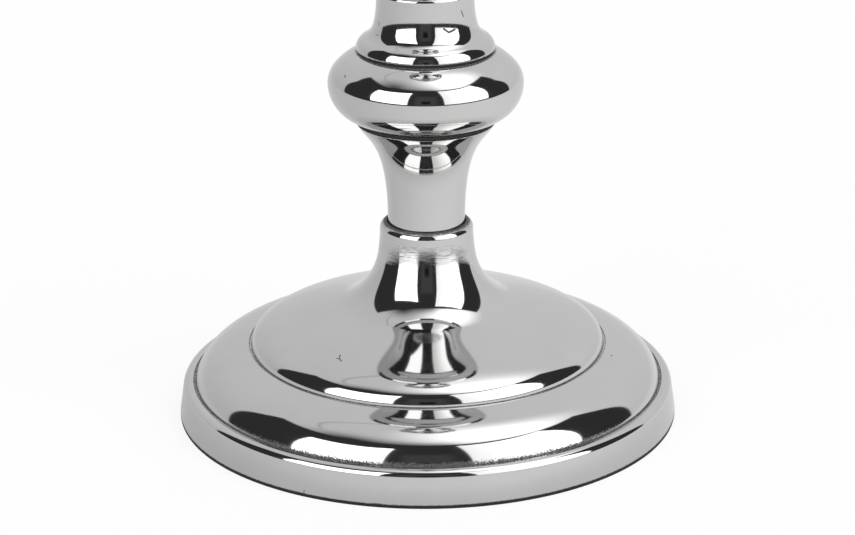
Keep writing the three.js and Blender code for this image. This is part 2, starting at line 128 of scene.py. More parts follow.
def underside_radius(node: str) -> float:
    """Radius of a round node at its underside."""
    low = floor_of(node)
    ring = [v.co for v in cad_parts[node].data.vertices if v.co.z < low + UNDERSIDE]
    return max(co.xy.length for co in ring)


def heading(degrees: float) -> Vector:
    """The direction at an angle from the outward radius towards +Z."""
    return Vector((math.cos(degrees * DEGREE), math.sin(degrees * DEGREE)))


@dataclass(frozen=True)
class Curve:
    """A free curve of an outline: its direction and its pull, a share of the chord, at either end."""

    leave_deg: float
    arrive_deg: float
    pulls: Span

    def backwards(self) -> "Curve":
        """The same curve followed from its end to its start."""
        return Curve(self.arrive_deg + 180, self.leave_deg + 180, (self.pulls[1], self.pulls[0]))


class Outline:
    """The half section of a turned piece, as points of radius and height, drawn anticlockwise."""

    def __init__(self, r: float, z: float) -> None:
        """Starts the outline at a point."""
        self.points: list[Vector] = [Vector((r, z))]
        self.eases: dict[int, float] = {}

    def line(self, r: float, z: float) -> "Outline":
        """Goes straight to a point."""
        self.points.append(Vector((r, z)))
        return self

    def arc(self, r: float, z: float, radius: float, start_deg: float, end_deg: float) -> "Outline":
        """Goes straight to the start of a round stretch, then along it.

        Args:
            r: Radius of the round's centre.
            z: Height of the round's centre.
            radius: Radius of the round itself.
            start_deg: Where it starts, from the outward direction towards +Z.
            end_deg: Where it ends.

        Returns:
            The outline itself.
        """
        steps = max(ARC_STEPS_LEAST, math.ceil(abs(end_deg - start_deg) / ARC_STEP_DEG))
        for i in range(steps + 1):
            angle = (start_deg + (end_deg - start_deg) * i / steps) * DEGREE
            self.line(r + radius * math.cos(angle), z + radius * math.sin(angle))
        return self

    def hollow(self, radius: float, start_deg: float, end_deg: float) -> "Outline":
        """Goes along a hollow round that starts at the last point.

        Args:
            radius: Radius of the round.
            start_deg: How far up the surface faces where the round starts.
            end_deg: How far up it faces where the round ends.

        Returns:
            The outline itself.
        """
        centre = self.points[-1] + heading(start_deg) * radius
        return self.arc(centre.x, centre.y, radius, 180 + start_deg, 180 + end_deg)

    def sweep(self, r: float, z: float, curve: Curve) -> "Outline":
        """Goes along a free curve to a point.

        Args:
            r: Radius of the end point.
            z: Height of the end point.
            curve: The curve's directions and pulls.

        Returns:
            The outline itself.
        """
        start = self.points[-1].copy()
        end = Vector((r, z))
        chord = (end - start).length
        first = start + heading(curve.leave_deg) * (chord * curve.pulls[0])
        second = end - heading(curve.arrive_deg) * (chord * curve.pulls[1])
        for i in range(1, SWEEP_STEPS + 1):
            t = i / SWEEP_STEPS
            s = 1 - t
            self.points.append(start * s**3 + first * (3 * s * s * t) + second * (3 * s * t * t) + end * t**3)
        return self

    def ease(self, reach: float) -> "Outline":
        """Wears the corner at the last point round, over a reach on either side of it."""
        self.eases[len(self.points) - 1] = reach
        return self

    def close(self) -> "Outline":
        """Joins the last point to the first, for a piece with a hole through it."""
        first = self.points[0]
        return self.line(first.x, first.y)

    def worn(self) -> list[Vector]:
        """The outline's points, without doubles and with each eased corner worn round.

        Returns:
            Points of radius and height.
        """
        along = [0.0]
        for a, b in zip(self.points, self.points[1:]):
            along.append(along[-1] + (b - a).length)
        corners = [(along[i], reach, self.points[i]) for i, reach in sorted(self.eases.items())]
        made: list[tuple[float, Vector]] = []
        for s, point in zip(along, self.points):
            if all(abs(s - at) >= reach for at, reach, _ in corners):
                made.append((s, point))
        for at, reach, corner in corners:
            before, after = self.point_at(along, at - reach), self.point_at(along, at + reach)
            for i in range(EASE_STEPS + 1):
                t = i / EASE_STEPS
                bend = before * (1 - t) ** 2 + corner * (2 * t * (1 - t)) + after * t**2
                made.append((at - reach + 2 * reach * t, bend))
        made.sort(key=lambda pair: pair[0])
        kept = [made[0][1]]
        for _, point in made[1:]:
            if (point - kept[-1]).length > SAME_POINT:
                kept.append(point)
        return kept

    def point_at(self, along: Sequence[float], s: float) -> Vector:
        """The point at a distance along the outline."""
        i = max(k for k in range(len(along) - 1) if along[k] <= max(s, 0.0))
        share = (s - along[i]) / (along[i + 1] - along[i])
        return self.points[i].lerp(self.points[i + 1], share)


def mesh_object(name: str, corners: Sequence[Vector], faces: Sequence[Sequence[int]]) -> Piece:
    """A smooth mesh object with its sharp corners kept.

    Args:
        name: The piece's name.
        corners: The vertices, in metres in the frame.
        faces: The vertices of each face, anticlockwise from outside.

    Returns:
        The object, linked to the scene.
    """
    mesh = bpy.data.meshes.new(name)
    mesh.from_pydata([tuple(c) for c in corners], [], [tuple(f) for f in faces])
    mesh.validate()
    mesh.shade_smooth()
    mesh.set_sharp_from_angle(angle=SHARP_EDGE)
    made = bpy.data.objects.new(name, mesh)
    bpy.context.scene.collection.objects.link(made)
    return made


def spun(name: str, section: Callable[[float], Sequence[Vector]], sides: int) -> Piece:
    """A solid of revolution whose section may change with the angle, as a nut's or a thread's does.

    Args:
        name: The piece's name.
        section: Gives the outline's points at an angle. It starts and ends on the axis, or closes on itself.
        sides: Steps round the axis.

    Returns:
        The object, linked to the scene.
    """
    rows = [section(2 * math.pi * i / sides) for i in range(sides)]
    count = len(rows[0])
    closed = (rows[0][0] - rows[0][-1]).length < NO_LENGTH
    rings: list[list[int]] = []
    corners: list[Vector] = []
    for k in range(count - 1 if closed else count):
        if rows[0][k].x < NO_LENGTH:
            rings.append([len(corners)] * sides)
            corners.append(Vector((0, 0, rows[0][k].y)))
            continue
        rings.append(list(range(len(corners), len(corners) + sides)))
        for i in range(sides):
            angle = 2 * math.pi * i / sides
            point = rows[i][k]
            corners.append(Vector((point.x * math.cos(angle), point.x * math.sin(angle), point.y)))
    if closed:
        rings.append(rings[0])
    faces: list[list[int]] = []
    for low, high in zip(rings, rings[1:]):
        for i in range(sides):
            j = (i + 1) % sides
            faces.append(list(dict.fromkeys([low[i], low[j], high[j], high[i]])))
    return mesh_object(name, corners, faces)


def turned(name: str, outline: Outline, sides: int) -> Piece:
    """A round piece turned from an outline."""
    points = outline.worn()
    return spun(name, lambda angle: points, sides)


def flat_ring(name: str, node: str, bore: float, ease: float, sides: int) -> Piece:
    """Punches a flat ring with its outer edges worn round.

    Args:
        name: The piece's name.
        node: The node that it stands for.
        bore: Radius of its hole.
        ease: How far the wear reaches.
        sides: Steps round the axis.

    Returns:
        The ring.
    """
    low, top, radius = floor_of(node), top_of(node), reach_of(node)
    outline = Outline(bore, low)
    outline.line(radius, low).ease(ease)
    outline.line(radius, top).ease(ease)
    outline.line(bore, top)
    return turned(name, outline.close(), sides)


@dataclass(frozen=True)
class Grain:
    """A noise pattern: how fine it is, how many finer ones lie in it, and how strong these are."""

    scale: float
    detail: float = 2.0
    roughness: float = 0.5


@dataclass(frozen=True)
class Places:
    """Where a point of a piece lies: its place, its Y and Z, and its distance and angle from the axis."""

    place: Socket
    y: Socket
    z: Socket
    radius: Socket
    angle: Socket


class Graph:
    """A node tree with short ways to add and join nodes."""

    def __init__(self, tree: bpy.types.NodeTree) -> None:
        """Empties the tree and keeps it."""
        self.tree = tree
        tree.nodes.clear()

    def add(self, kind: str, inputs: dict | None = None, **settings: object) -> bpy.types.Node:
        """Adds a node.

        Args:
            kind: The node's type without the ShaderNode prefix.
            inputs: Values or sockets for its inputs, by name or index.
            settings: The node's own properties.

        Returns:
            The node.
        """
        node = self.tree.nodes.new("ShaderNode" + kind)
        for key, value in settings.items():
            setattr(node, key, value)
        for key, value in (inputs or {}).items():
            self.feed(node.inputs[key], value)
        return node

    def feed(self, socket: Socket, value: Feed) -> None:
        """Links a socket to an output, or sets its value."""
        if isinstance(value, Socket):
            self.tree.links.new(value, socket)
        else:
            socket.default_value = value

    def math(self, operation: str, *values: Feed) -> Socket:
        """The result of a Math node."""
        return self.add("Math", dict(enumerate(values)), operation=operation).outputs[0]

    def vector(self, operation: str, *values: Feed) -> bpy.types.Node:
        """A Vector Math node, whose result is a vector or a number."""
        return self.add("VectorMath", dict(enumerate(values)), operation=operation)

    def length(self, across: Socket, along: Socket) -> Socket:
        """The distance that two steps at right angles make."""
        squares = [self.math("MULTIPLY", side, side) for side in (across, along)]
        return self.math("SQRT", self.math("ADD", *squares))

    def step(self, value: Socket, low: float, high: float) -> Socket:
        """A smooth rise from 0 at low to 1 at high, or a fall where low is the larger."""
        span = {"Value": value, "From Min": low, "From Max": high}
        return self.add("MapRange", span, interpolation_type="SMOOTHSTEP").outputs["Result"]

    def blend(self, share: Feed, low: Feed, high: Feed) -> Socket:
        """A number between two others."""
        return self.add("Mix", {"Factor": share, 2: low, 3: high}, data_type="FLOAT").outputs[0]

    def tone(self, share: Feed, low: Feed, high: Feed) -> Socket:
        """A colour between two others."""
        return self.add("MixRGB", {"Fac": share, "Color1": low, "Color2": high}).outputs["Color"]

    def noise(self, place: Socket, grain: Grain) -> Socket:
        """A noise pattern from 0 to 1, by place."""
        pattern = {"Scale": grain.scale, "Detail": grain.detail, "Roughness": grain.roughness}
        return self.add("TexNoise", {"Vector": place, **pattern}).outputs["Fac"]

    def bump(self, height: Socket, depth: float, before: Socket | None = None) -> Socket:
        """A surface normal raised by a height pattern.

        Args:
            height: The pattern, from 0 to 1.
            depth: Metres between the pattern's 0 and 1.
            before: A normal that this one adds to.

        Returns:
            The normal.
        """
        inputs = {"Height": height, "Distance": depth, "Strength": 1.0}
        if before is not None:
            inputs["Normal"] = before
        return self.add("Bump", inputs).outputs["Normal"]

    def place(self) -> Socket:
        """The place on the piece, in metres from the frame's origin."""
        return self.add("TexCoord").outputs["Object"]

    def places(self) -> Places:
        """The place on the piece, with its distance and angle from the axis."""
        place = self.place()
        x, y, z = self.add("SeparateXYZ", {"Vector": place}).outputs
        return Places(place, y, z, self.length(x, y), self.math("ARCTAN2", y, x))

    def surface(self, inputs: dict[str, Feed]) -> None:
        """Ends the tree in one shader with these inputs."""
        shader = self.add("BsdfPrincipled", inputs)
        self.add("OutputMaterial", {"Surface": shader.outputs["BSDF"]})


def new_material(name: str) -> tuple[bpy.types.Material, Graph]:
    """An empty material and its nodes."""
    made = bpy.data.materials.new(name)
    made.use_nodes = True
    return made, Graph(made.node_tree)


@dataclass(frozen=True)
class Mark:
    """A nick, pit or scratch in the polish: a short stroke between two points of the surface, in mm."""

    start: tuple[float, float, float]
    end: tuple[float, float, float]
    width: float = 0.2


@dataclass(frozen=True)
class Seam:
    """A groove or joint that holds polish residue.

    It runs at a radius and a height, and the residue and painted shade spread by its reach. Where it isn't
    all round, front gives the places on the Y axis where it starts and where it is full. A ragged seam breaks
    up into specks.
    """

    radius: float
    height: float
    reach: float
    front: Span | None = None
    ragged: float = 2.4


@dataclass(frozen=True)
class Brushed:
    """A band that was brushed round the axis and hardly buffed, and may be worn to face a little upwards."""

    low: float
    high: float
    fade: float
    depth: float
    lean_deg: float = 0.0


@dataclass(frozen=True)
class BuffedNickel:
    """A casting plated with nickel and buffed to a mirror."""

    name: str
    tint: Colour = (0.58, 0.58, 0.577, 1.0)
    smudge_tint: Colour = (0.5568, 0.5568, 0.55392, 1.0)
    smudges: Grain = Grain(60.0, 4.0, 0.6)
    smudge_span: Span = (0.3, 0.8)
    smudge_rough: float = 0.03
    gloss: float = 0.045
    ripple: Grain = Grain(110.0, 1.0)
    ripple_depth: float = 0.004 * MM
    turning: Grain = Grain(2600.0)
    turning_draw: float = 2.0 * MM
    turning_depth: float = 0.0008 * MM
    strokes: Grain = Grain(8500.0)
    strokes_draw: float = 0.25 * MM
    # Dull dark colour for polish residue together with painted shade in the seams
    residue_and_shade_tint: Colour = (0.055, 0.055, 0.054, 1.0)
    residue_and_shade_rough: float = 0.55
    residue_and_shade_core: float = 0.3
    tearing: Grain = Grain(3200.0, 4.0, 0.7)
    mark_core: float = 0.4
    seams: tuple[Seam, ...] = ()
    bands: tuple[Brushed, ...] = ()
    marks: tuple[Mark, ...] = ()

    def material(self) -> bpy.types.Material:
        """Builds the material.

        Returns:
            A mirror with slow ripples, a fine turned grain, faint smudges, residue and painted shade in its
            seams, and marks.
        """
        made, graph = new_material(self.name)
        at = graph.places()
        smudges = graph.noise(at.place, self.smudges)
        dark = graph.math("MAXIMUM", self.mark_mask(graph, at), self.residue_and_shade_mask(graph, at))
        metal = graph.tone(graph.step(smudges, *self.smudge_span), self.tint, self.smudge_tint)
        rough = graph.math("MULTIPLY_ADD", smudges, self.smudge_rough, self.gloss)
        turning = self.drawn(graph, at, self.turning, self.turning_draw)
        strokes = self.drawn(graph, at, self.strokes, self.strokes_draw)
        normal = graph.bump(graph.noise(at.place, self.ripple), self.ripple_depth)
        normal = graph.bump(turning, self.turning_depth, normal)
        for band in self.bands:
            wear = (band.high - band.low) * math.tan(band.lean_deg * DEGREE) / STEP_STEEPNESS
            normal = graph.bump(graph.step(at.z, band.high, band.low), wear, normal)
            brushing = graph.math("MULTIPLY", strokes, self.band_mask(graph, at, band))
            normal = graph.bump(brushing, band.depth, normal)
        graph.surface({
            # Residue with painted shade in the seams, and the marks, turn the metal into a dull dark colour
            "Base Color": graph.tone(dark, metal, self.residue_and_shade_tint),
            "Metallic": graph.math("SUBTRACT", 1.0, dark),
            "Roughness": graph.blend(dark, rough, self.residue_and_shade_rough),
            "Normal": normal,
        })
        return made

    def drawn(self, graph: Graph, at: Places, grain: Grain, draw: float) -> Socket:
        """A noise pattern drawn out round the axis.

        Args:
            graph: The material's nodes.
            at: The place on the piece.
            grain: The pattern.
            draw: How far the pattern runs on in one radian round the axis.

        Returns:
            The pattern, from 0 to 1.
        """
        around = graph.math("MULTIPLY", at.angle, draw)
        place = graph.add("CombineXYZ", {"X": at.radius, "Y": at.z, "Z": around}).outputs["Vector"]
        return graph.noise(place, grain)

    def band_mask(self, graph: Graph, at: Places, band: Brushed) -> Socket:
        """A socket that grows from 0 at the foot of a brushed band to 1 near its top, and is 0 above it."""
        rise = graph.step(at.z, band.low, band.high - band.fade)
        fall = graph.step(at.z, band.high + band.fade, band.high - band.fade)
        return graph.math("MULTIPLY", rise, fall)

    def residue_and_shade_mask(self, graph: Graph, at: Places) -> Feed:
        """Where polish residue is left and shade is painted in the seams.

        Args:
            graph: The material's nodes.
            at: The place on the piece.

        Returns:
            A socket that is 1 on residue and painted shade, with a ragged edge, or 0 where the piece has no
            seam.
        """
        found: Feed = 0.0
        ragged = graph.math("SUBTRACT", graph.noise(at.place, self.tearing), 0.5)
        for seam in self.seams:
            across = graph.math("SUBTRACT", at.radius, seam.radius)
            above = graph.math("SUBTRACT", at.z, seam.height)
            tear = graph.math("MULTIPLY", ragged, seam.ragged * seam.reach)
            away = graph.math("ADD", graph.length(across, above), tear)
            spread = graph.step(away, seam.reach, self.residue_and_shade_core * seam.reach)
            if seam.front is not None:
                spread = graph.math("MULTIPLY", spread, graph.step(at.y, *seam.front))
            found = graph.math("MAXIMUM", spread, found)
        return found

    def mark_mask(self, graph: Graph, at: Places) -> Feed:
        """Where the marks are.

        Args:
            graph: The material's nodes.
            at: The place on the piece.

        Returns:
            A socket that is 1 on a mark and 0 off it, or 0 where the piece has none.
        """
        found: Feed = 0.0
        for mark in self.marks:
            start = Vector(mark.start) * MM
            run = Vector(mark.end) * MM - start
            width = mark.width * MM
            offset = graph.vector("SUBTRACT", at.place, tuple(start)).outputs["Vector"]
            reach = graph.vector("DOT_PRODUCT", offset, tuple(run / run.length_squared)).outputs["Value"]
            share = graph.add("Clamp", {"Value": reach}).outputs[0]
            nearest = graph.add("VectorMath", {0: tuple(run), "Scale": share}, operation="SCALE").outputs[0]
            gap = graph.vector("DISTANCE", offset, nearest).outputs["Value"]
            found = graph.math("MAXIMUM", graph.step(gap, width, self.mark_core * width), found)
        return found


@dataclass(frozen=True)
class ZincSteel:
    """Turned steel with a dull zinc plate."""

    name: str = "zinc_steel"
    tint: Colour = (0.60, 0.61, 0.62, 1.0)
    warm: Colour = (0.56, 0.545, 0.50, 1.0)
    cloud: Grain = Grain(220.0, 4.0, 0.6)
    cloud_span: Span = (0.35, 0.75)
    rough: Span = (0.26, 0.46)
    spangle: Grain = Grain(2400.0, 3.0, 0.7)
    spangle_depth: float = 0.01 * MM

    def material(self) -> bpy.types.Material:
        """Builds the material.

        Returns:
            A satin metal with clouded plate and fine spangle.
        """
        made, graph = new_material(self.name)
        place = graph.place()
        cloud = graph.noise(place, self.cloud)
        graph.surface({
            "Base Color": graph.tone(graph.step(cloud, *self.cloud_span), self.tint, self.warm),
            "Metallic": 1.0,
            "Roughness": graph.blend(cloud, *self.rough),
            "Normal": graph.bump(graph.noise(place, self.spangle), self.spangle_depth),
        })
        return made


@dataclass(frozen=True)
class BlackFibre:
    """Vulcanised fibre, matte and nearly black."""

    name: str = "black_fibre"
    dark: Colour = (0.008, 0.008, 0.008, 1.0)
    pale: Colour = (0.028, 0.026, 0.025, 1.0)
    rough: Span = (0.6, 0.85)
    fibres: Grain = Grain(1500.0, 5.0, 0.65)
    fibre_depth: float = 0.04 * MM

    def material(self) -> bpy.types.Material:
        """Builds the material.

        Returns:
            A matte black with a pressed, fibrous surface.
        """
        made, graph = new_material(self.name)
        fibres = graph.noise(graph.place(), self.fibres)
        graph.surface({
            "Base Color": graph.tone(fibres, self.dark, self.pale),
            "Roughness": graph.blend(fibres, *self.rough),
            "Normal": graph.bump(fibres, self.fibre_depth),
        })
        return made


@dataclass(frozen=True)
class BlackFelt:
    """Black wool felt."""

    name: str = "black_felt"
    dark: Colour = (0.003, 0.003, 0.0033, 1.0)
    pale: Colour = (0.02, 0.02, 0.022, 1.0)
    rough: float = 0.95
    sheen: float = 0.05
    mat: Grain = Grain(900.0, 6.0, 0.7)
    mat_depth: float = 0.15 * MM
    hair_scale: float = 1400.0
    hair_depth: float = 0.05 * MM

    def material(self) -> bpy.types.Material:
        """Builds the material.

        Returns:
            A dark, soft surface of matted fibres.
        """
        made, graph = new_material(self.name)
        place = graph.place()
        mat = graph.noise(place, self.mat)
        hairs = {"Vector": place, "Scale": self.hair_scale}
        cells = graph.add("TexVoronoi", hairs, feature="DISTANCE_TO_EDGE")
        matted = graph.bump(mat, self.mat_depth)
        graph.surface({
            "Base Color": graph.tone(mat, self.dark, self.pale),
            "Roughness": self.rough,
            "Sheen Weight": self.sheen,
            "Normal": graph.bump(cells.outputs["Distance"], self.hair_depth, matted),
        })
        return made


# The foot's plate: painted shade at its lower edge, residue with painted shade in its grooves and round the
# stem, a brushed neck and a few marks
FOOT_NICKEL = BuffedNickel(
    "buffed_foot",
    # Painted contact shadow at the lower edge, where the foot meets the felt; residue with painted shade in
    # the outer groove, smeared along its front, in the inner groove, and round the stem
    seams=(
        Seam(60.0 * MM, 0.7 * MM, 0.3 * MM),
        Seam(56.35 * MM, 8.4 * MM, 0.4 * MM),
        Seam(56.1 * MM, 8.8 * MM, 0.5 * MM, front=(-28.0 * MM, -46.0 * MM), ragged=8.0),
        Seam(42.75 * MM, 17.0 * MM, 0.34 * MM),
        Seam(9.75 * MM, 47.5 * MM, 1.1 * MM),
    ),
    bands=(Brushed(35.5 * MM, 46.0 * MM, 1.2 * MM, 0.024 * MM, lean_deg=6.5),),
    # A three-legged scratch and a speck on the domes, and two nicks in the lower edge
    marks=(
        Mark((-21.0, -27.2, 23.2), (-20.4, -27.6, 23.2)),
        Mark((-20.4, -27.6, 23.2), (-20.2, -26.2, 23.6)),
        Mark((-20.4, -27.6, 23.2), (-19.8, -28.6, 23.0)),
        Mark((43.9, -10.5, 16.7), (43.9, -10.4, 16.7), 0.35),
        Mark((-28.0, -53.0, 1.5), (-28.1, -53.1, 0.8)),
        Mark((-12.2, -58.7, 0.8), (-10.4, -59.1, 0.8), 0.3),
    ),
)

# The column's plate: residue with painted shade in its seams, faint strokes on the lower stem, pits and
# scratches on the bell
COLUMN_NICKEL = BuffedNickel(
    "buffed_column",
    # Residue with painted shade under the knop, under the bell, and at the bell's upper lip
    seams=(
        Seam(16.2 * MM, 72.7 * MM, 0.6 * MM),
        Seam(16.2 * MM, 89.8 * MM, 0.7 * MM),
        Seam(10.0 * MM, 104.3 * MM, 0.5 * MM),
    ),
    bands=(Brushed(47.0 * MM, 60.0 * MM, 4.0 * MM, 0.0015 * MM),),
    # A bent pit and scratches on the bell, and a nick on the knop
    marks=(
        Mark((4.2, -11.0, 97.4), (5.3, -10.7, 96.5), 0.3),
        Mark((5.3, -10.7, 96.5), (6.7, -9.8, 96.9), 0.35),
        Mark((8.2, -7.9, 100.8), (8.7, -7.5, 99.4)),
        Mark((-4.3, -11.0, 97.2), (-2.5, -11.5, 97.1), 0.12),
        Mark((-10.7, -4.9, 97.6), (-10.6, -5.4, 96.6)),
        Mark((-11.3, -5.6, 94.5), (-10.6, -6.5, 94.8)),
        Mark((12.8, -1.7, 94.1), (13.0, -2.2, 93.7)),
        Mark((-18.6, -9.8, 86.2), (-18.4, -10.7, 86.0)),
    ),
)


@dataclass
class Finishes:
    """Every material of the candlestick, made once."""

    foot: bpy.types.Material = field(default_factory=FOOT_NICKEL.material)
    column: bpy.types.Material = field(default_factory=COLUMN_NICKEL.material)
    steel: bpy.types.Material = field(default_factory=ZincSteel().material)
    fibre: bpy.types.Material = field(default_factory=BlackFibre().material)
    felt: bpy.types.Material = field(default_factory=BlackFelt().material)


def fit(piece: Piece, node: str, body: Body, slot: Slot, finish: bpy.types.Material) -> None:
    """Dresses a piece and puts it in the place of a node of the frame.

    Args:
        piece: The fine mesh.
        node: The node that it stands for.
        body: The body that it moves with.
        slot: The record's finish; not used.
        finish: The material.
    """
    piece.data.materials.append(finish)
    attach(piece, body.value)
    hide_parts(node)
    log.info("%s: %d faces, for %s", piece.name, len(piece.data.polygons), node)


@dataclass
class Foot:
    """The foot casting, with its felt pad."""

    rim_wall: float = 4.6 * MM
    rim_lean_deg: float = 8.5
    rim_edge: float = 1.7 * MM
    rim_ledge: float = 0.75 * MM
    outer_width: float = 13.1 * MM
    outer_rise: float = 8.55 * MM
    outer_foot_deg: float = 16.7
    outer_shoulder: float = 9.75 * MM
    outer_end_deg: float = 54.5
    outer_curve: Curve = Curve(144.5, 167.5, (0.24, 0.58))
    inner_rise: float = 23.0 * MM
    inner_foot_deg: float = 6.0
    crest_inset: float = 9.7 * MM
    crest_rise: float = 6.55 * MM
    crest_deg: float = 72.0
    fillet_radius: float = 16.1 * MM
    fillet_deg: float = 63.6
    neck_height: float = 5.75 * MM
    neck_flare: float = 0.42 * MM
    neck_flare_deg: float = 7.0
    inner_curve: Curve = Curve(96, 162, (0.26, 0.61))
    crest_curve: Curve = Curve(162, 153.6, (0.41, 0.16))
    neck_curve: Curve = Curve(97, 90, (0.35, 0.35))
    lip_round: float = 1.7 * MM
    socket_depth: float = 3.0 * MM
    socket_clearance: float = 0.25 * MM
    groove_width: float = 0.5 * MM
    groove_depth: float = 0.4 * MM
    wall: float = 3.4 * MM
    rod_bore: float = ROD_BORE
    boss_radius: float = 12.5 * MM
    boss_height: float = 5.0 * MM
    roof_drop: float = 14.6 * MM
    edge_ease: float = 0.16 * MM
    felt_inset: float = 0.02 * MM
    felt_ease: float = 0.1 * MM

    def casting(self) -> Piece:
        """Turns the foot: rim band, two stepped domes and the neck outside, a hollow with a boss inside.

        Returns:
            The casting.
        """
        ground, radius, top = floor_of("foot"), reach_of("foot"), top_of("foot")
        socket = underside_radius("lower_stem") + self.socket_clearance
        neck_radius = socket + self.lip_round
        lip_start = top - self.lip_round
        neck_root = lip_start - self.neck_height
        crown = neck_root - self.inner_rise
        rim_top = crown - self.outer_rise
        edge_z = rim_top - self.rim_edge
        band = edge_z + self.rim_edge * math.sin(self.rim_lean_deg * DEGREE) - ground
        edge_r = radius - band * math.tan(self.rim_lean_deg * DEGREE)
        edge_r -= self.rim_edge * math.cos(self.rim_lean_deg * DEGREE)
        groove_r = edge_r - self.rim_ledge
        dome_r = groove_r - self.groove_width
        crown_r = dome_r - self.outer_width
        inner_r = crown_r - self.groove_width
        outer_at = Vector((dome_r, rim_top)) - heading(self.outer_foot_deg) * self.outer_shoulder
        crest = Vector((inner_r - self.crest_inset, crown + self.crest_rise))
        neck_foot = Vector((neck_radius + self.neck_flare, neck_root))
        fillet = neck_foot + (heading(self.neck_flare_deg) - heading(self.fillet_deg)) * self.fillet_radius
        boss_foot = neck_root - self.roof_drop - self.boss_height
        outline = Outline(radius - self.rim_wall, ground)
        outline.line(radius, ground).ease(self.edge_ease)
        outline.arc(edge_r, edge_z, self.rim_edge, self.rim_lean_deg, 90)
        outline.line(groove_r, rim_top).ease(self.edge_ease)
        outline.line(groove_r, rim_top - self.groove_depth).ease(self.edge_ease)
        outline.line(dome_r, rim_top - self.groove_depth).ease(self.edge_ease)
        outline.arc(*outer_at, self.outer_shoulder, self.outer_foot_deg, self.outer_end_deg)
        outline.sweep(crown_r, crown, self.outer_curve).ease(self.edge_ease)
        outline.line(crown_r, crown - self.groove_depth).ease(self.edge_ease)
        outline.line(inner_r, crown - self.groove_depth).ease(self.edge_ease)
        outline.line(inner_r, crown)
        outline.sweep(*crest, self.inner_curve)
        outline.sweep(*fillet, self.crest_curve)
        outline.hollow(self.fillet_radius, self.fillet_deg, self.neck_flare_deg)
        outline.sweep(neck_radius, lip_start, self.neck_curve)
        outline.arc(socket, lip_start, self.lip_round, 0, 90)
        outline.line(socket, top - self.socket_depth)
        outline.line(self.rod_bore, top - self.socket_depth)
        outline.line(self.rod_bore, boss_foot)
        outline.line(self.boss_radius, boss_foot)
        outline.line(self.boss_radius, boss_foot + self.boss_height)
        outline.line(*(crest - heading(self.crest_deg) * self.wall))
        foot_inside = Vector((inner_r, crown)) - heading(self.inner_foot_deg) * self.wall
        outline.sweep(*foot_inside, self.inner_curve.backwards())
        outline.arc(*outer_at, self.outer_shoulder - self.wall, self.outer_end_deg, self.outer_foot_deg)
        return turned("foot_casting", outline.close(), FOOT_SIDES)

    def pad(self) -> Piece:
        """Cuts the felt disc, with its edges pressed round.

        Returns:
            The pad.
        """
        low, high, radius = floor_of("felt_pad"), top_of("felt_pad"), reach_of("foot") - self.felt_inset
        outline = Outline(0, low)
        outline.line(radius, low).ease(self.felt_ease)
        outline.line(radius, high).ease(self.felt_ease)
        outline.line(0, high)
        return turned("felt_disc", outline, FOOT_SIDES)

    def build(self, finishes: Finishes) -> None:
        """Makes and dresses the foot's pieces."""
        fit(self.pad(), "felt_pad", Body.HOLDER, Slot.FELT, finishes.felt)
        fit(self.casting(), "foot", Body.HOLDER, Slot.POLISHED, finishes.foot)


@dataclass(frozen=True)
class KnopShape:
    """The rounds of a swelling, and where its widest point lies."""

    belly_height: float
    lower_round: float
    upper_round: float
    top_radius: float
    lower_deg: float = -59.0
    upper_deg: float = 44.0
    slope: Curve = Curve(134, 158, (0.43, 0.32))


